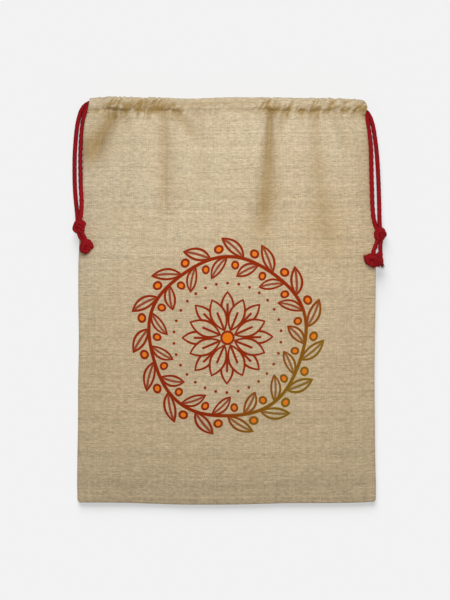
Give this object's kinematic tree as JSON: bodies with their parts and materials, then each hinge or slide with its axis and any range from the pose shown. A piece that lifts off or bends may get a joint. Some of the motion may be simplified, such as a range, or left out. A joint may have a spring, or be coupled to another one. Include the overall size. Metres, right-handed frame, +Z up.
{
  "type": "drawstring burlap sack",
  "caption": "Empty flat drawstring sack of coarse burlap-look cloth, lying on its back, with a gathered casing at the mouth and a red cord out of each top corner, knotted.",
  "frame": {"origin": "on the surface below the middle of the sack's box, measured without the free cords and their knots", "axes": "+X to the right as the front is seen, +Y from the closed bottom to the mouth, +Z up out of the front"},
  "size_m": [0.3186, 0.4105, 0.0213],
  "materials": {
    "burlap": "plain weave of uneven beige yarns, matt, with a slub here and there",
    "cord": "round red braid, soft sheen"
  },
  "bodies": {
    "root": {"front_panel": "burlap", "back_panel": "burlap", "cord_left": "cord", "cord_right": "cord", "knot_left": "cord", "knot_left_end": "cord", "knot_right": "cord", "knot_right_end": "cord"}
  },
  "joints": []
}
